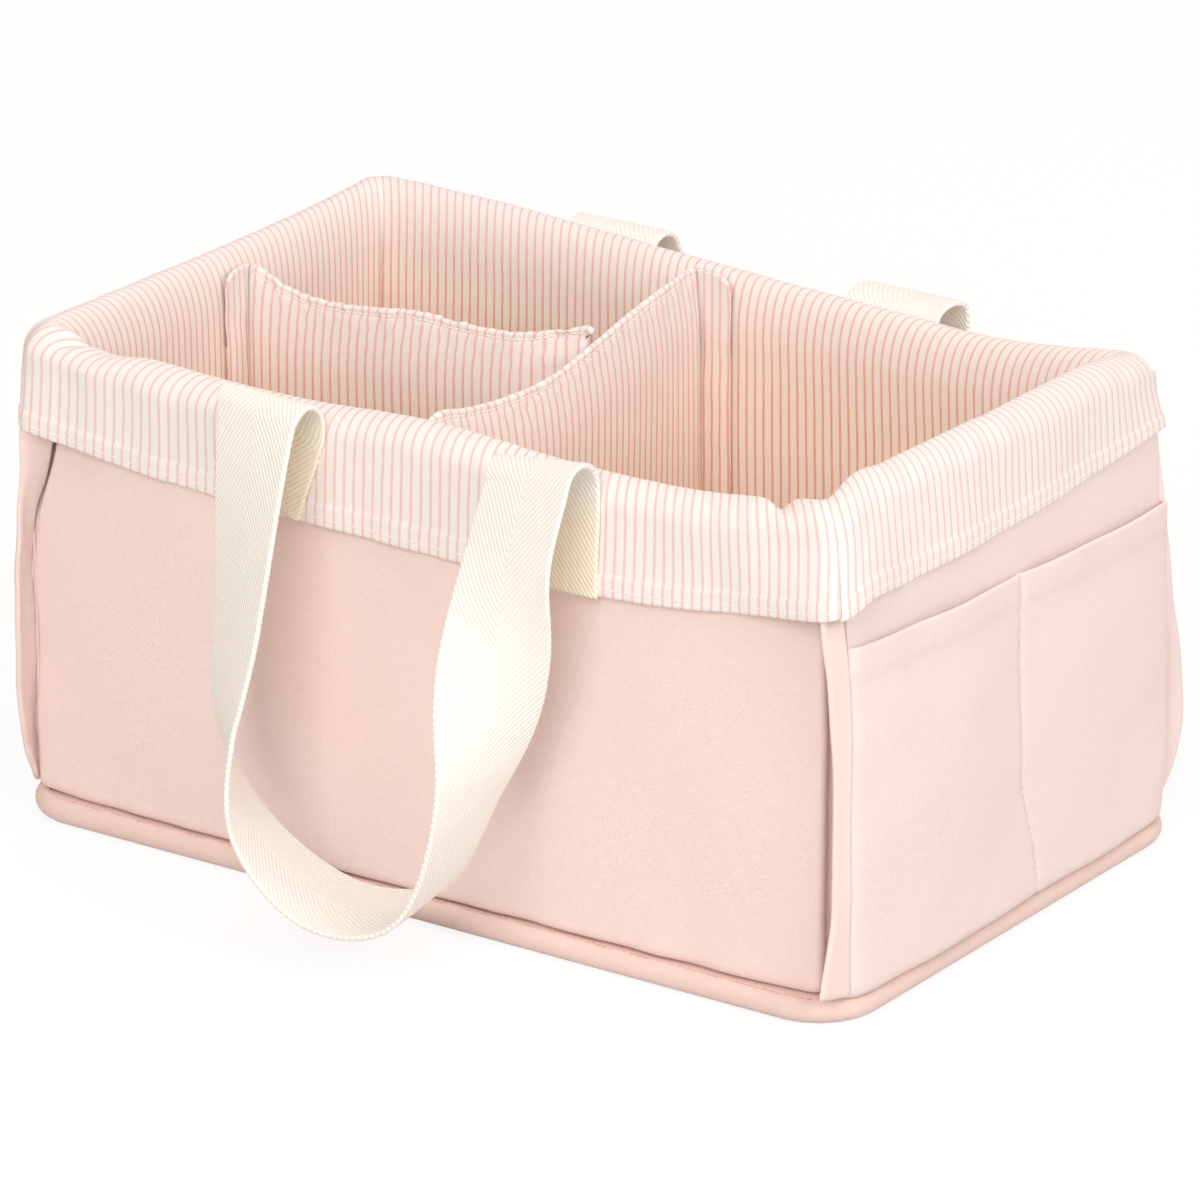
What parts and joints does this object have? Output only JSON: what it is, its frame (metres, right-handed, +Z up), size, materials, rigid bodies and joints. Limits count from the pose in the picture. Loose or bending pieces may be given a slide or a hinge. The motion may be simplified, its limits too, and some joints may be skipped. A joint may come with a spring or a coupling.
{
  "type": "diaper caddy",
  "caption": "Soft fabric diaper caddy with padded walls, striped lining folded over the rim, lift-out dividers, end pockets and hanging webbing handles.",
  "frame": {"origin": "on the floor under the middle of the base", "axes": "+X along the front, to the right; +Y from the front to the back; +Z up"},
  "size_m": [0.3688, 0.355, 0.1906],
  "materials": {
    "blush_cotton": "woven cotton",
    "pale_cotton": "woven cotton",
    "striped_cotton": "woven cotton with thin stripes",
    "natural_webbing": "herringbone cotton webbing",
    "foam": "soft padding",
    "loop_tape": "brushed loops",
    "board": "matte"
  },
  "bodies": {
    "caddy": {"back_handle_left_end": "natural_webbing", "back_handle_right_end": "natural_webbing", "back_left_corner_strip": "pale_cotton", "back_lining": "striped_cotton", "back_loop_tape": "loop_tape", "back_outer_panel": "blush_cotton", "back_right_corner_strip": "pale_cotton", "back_wall_foam": "foam", "base_board": "board", "base_pad": "blush_cotton", "floor_lining": "striped_cotton", "front_handle_left_end": "natural_webbing", "front_handle_right_end": "natural_webbing", "front_left_corner_strip": "pale_cotton", "front_lining": "striped_cotton", "front_loop_tape": "loop_tape", "front_outer_panel": "blush_cotton", "front_right_corner_strip": "pale_cotton", "front_wall_foam": "foam", "left_lining": "striped_cotton", "left_loop_tape": "loop_tape", "left_outer_panel": "pale_cotton", "left_pocket": "pale_cotton", "left_wall_foam": "foam", "right_lining": "striped_cotton", "right_outer_panel": "pale_cotton", "right_pocket": "pale_cotton", "right_wall_foam": "foam"},
    "front_handle": {"front_handle_loop": "natural_webbing"},
    "back_handle": {"back_handle_loop": "natural_webbing"},
    "cross_divider": {"cross_divider_pad": "striped_cotton", "cross_divider_front_flap": "striped_cotton", "cross_divider_back_flap": "striped_cotton", "cross_divider_loop_tape": "loop_tape"},
    "long_divider": {"long_divider_pad": "striped_cotton", "long_divider_left_flap": "striped_cotton", "long_divider_right_flap": "striped_cotton"}
  },
  "joints": [
    {"name": "front_handle_swing", "type": "hinge", "parent": "caddy", "child": "front_handle", "pos_m": [0, -0.11802, 0.17199], "axis": [-1, 0, 0], "range_deg": [0, 180]},
    {"name": "back_handle_swing", "type": "hinge", "parent": "caddy", "child": "back_handle", "pos_m": [0, 0.11796, 0.17797], "axis": [1, 0, 0], "range_deg": [0, 180]},
    {"name": "cross_divider_lift", "type": "slide", "parent": "caddy", "child": "cross_divider", "axis": [0, 0, 1], "range_m": [0, 0.12]},
    {"name": "long_divider_lift", "type": "slide", "parent": "caddy", "child": "long_divider", "axis": [0, 0, 1], "range_m": [0, 0.12]}
  ]
}
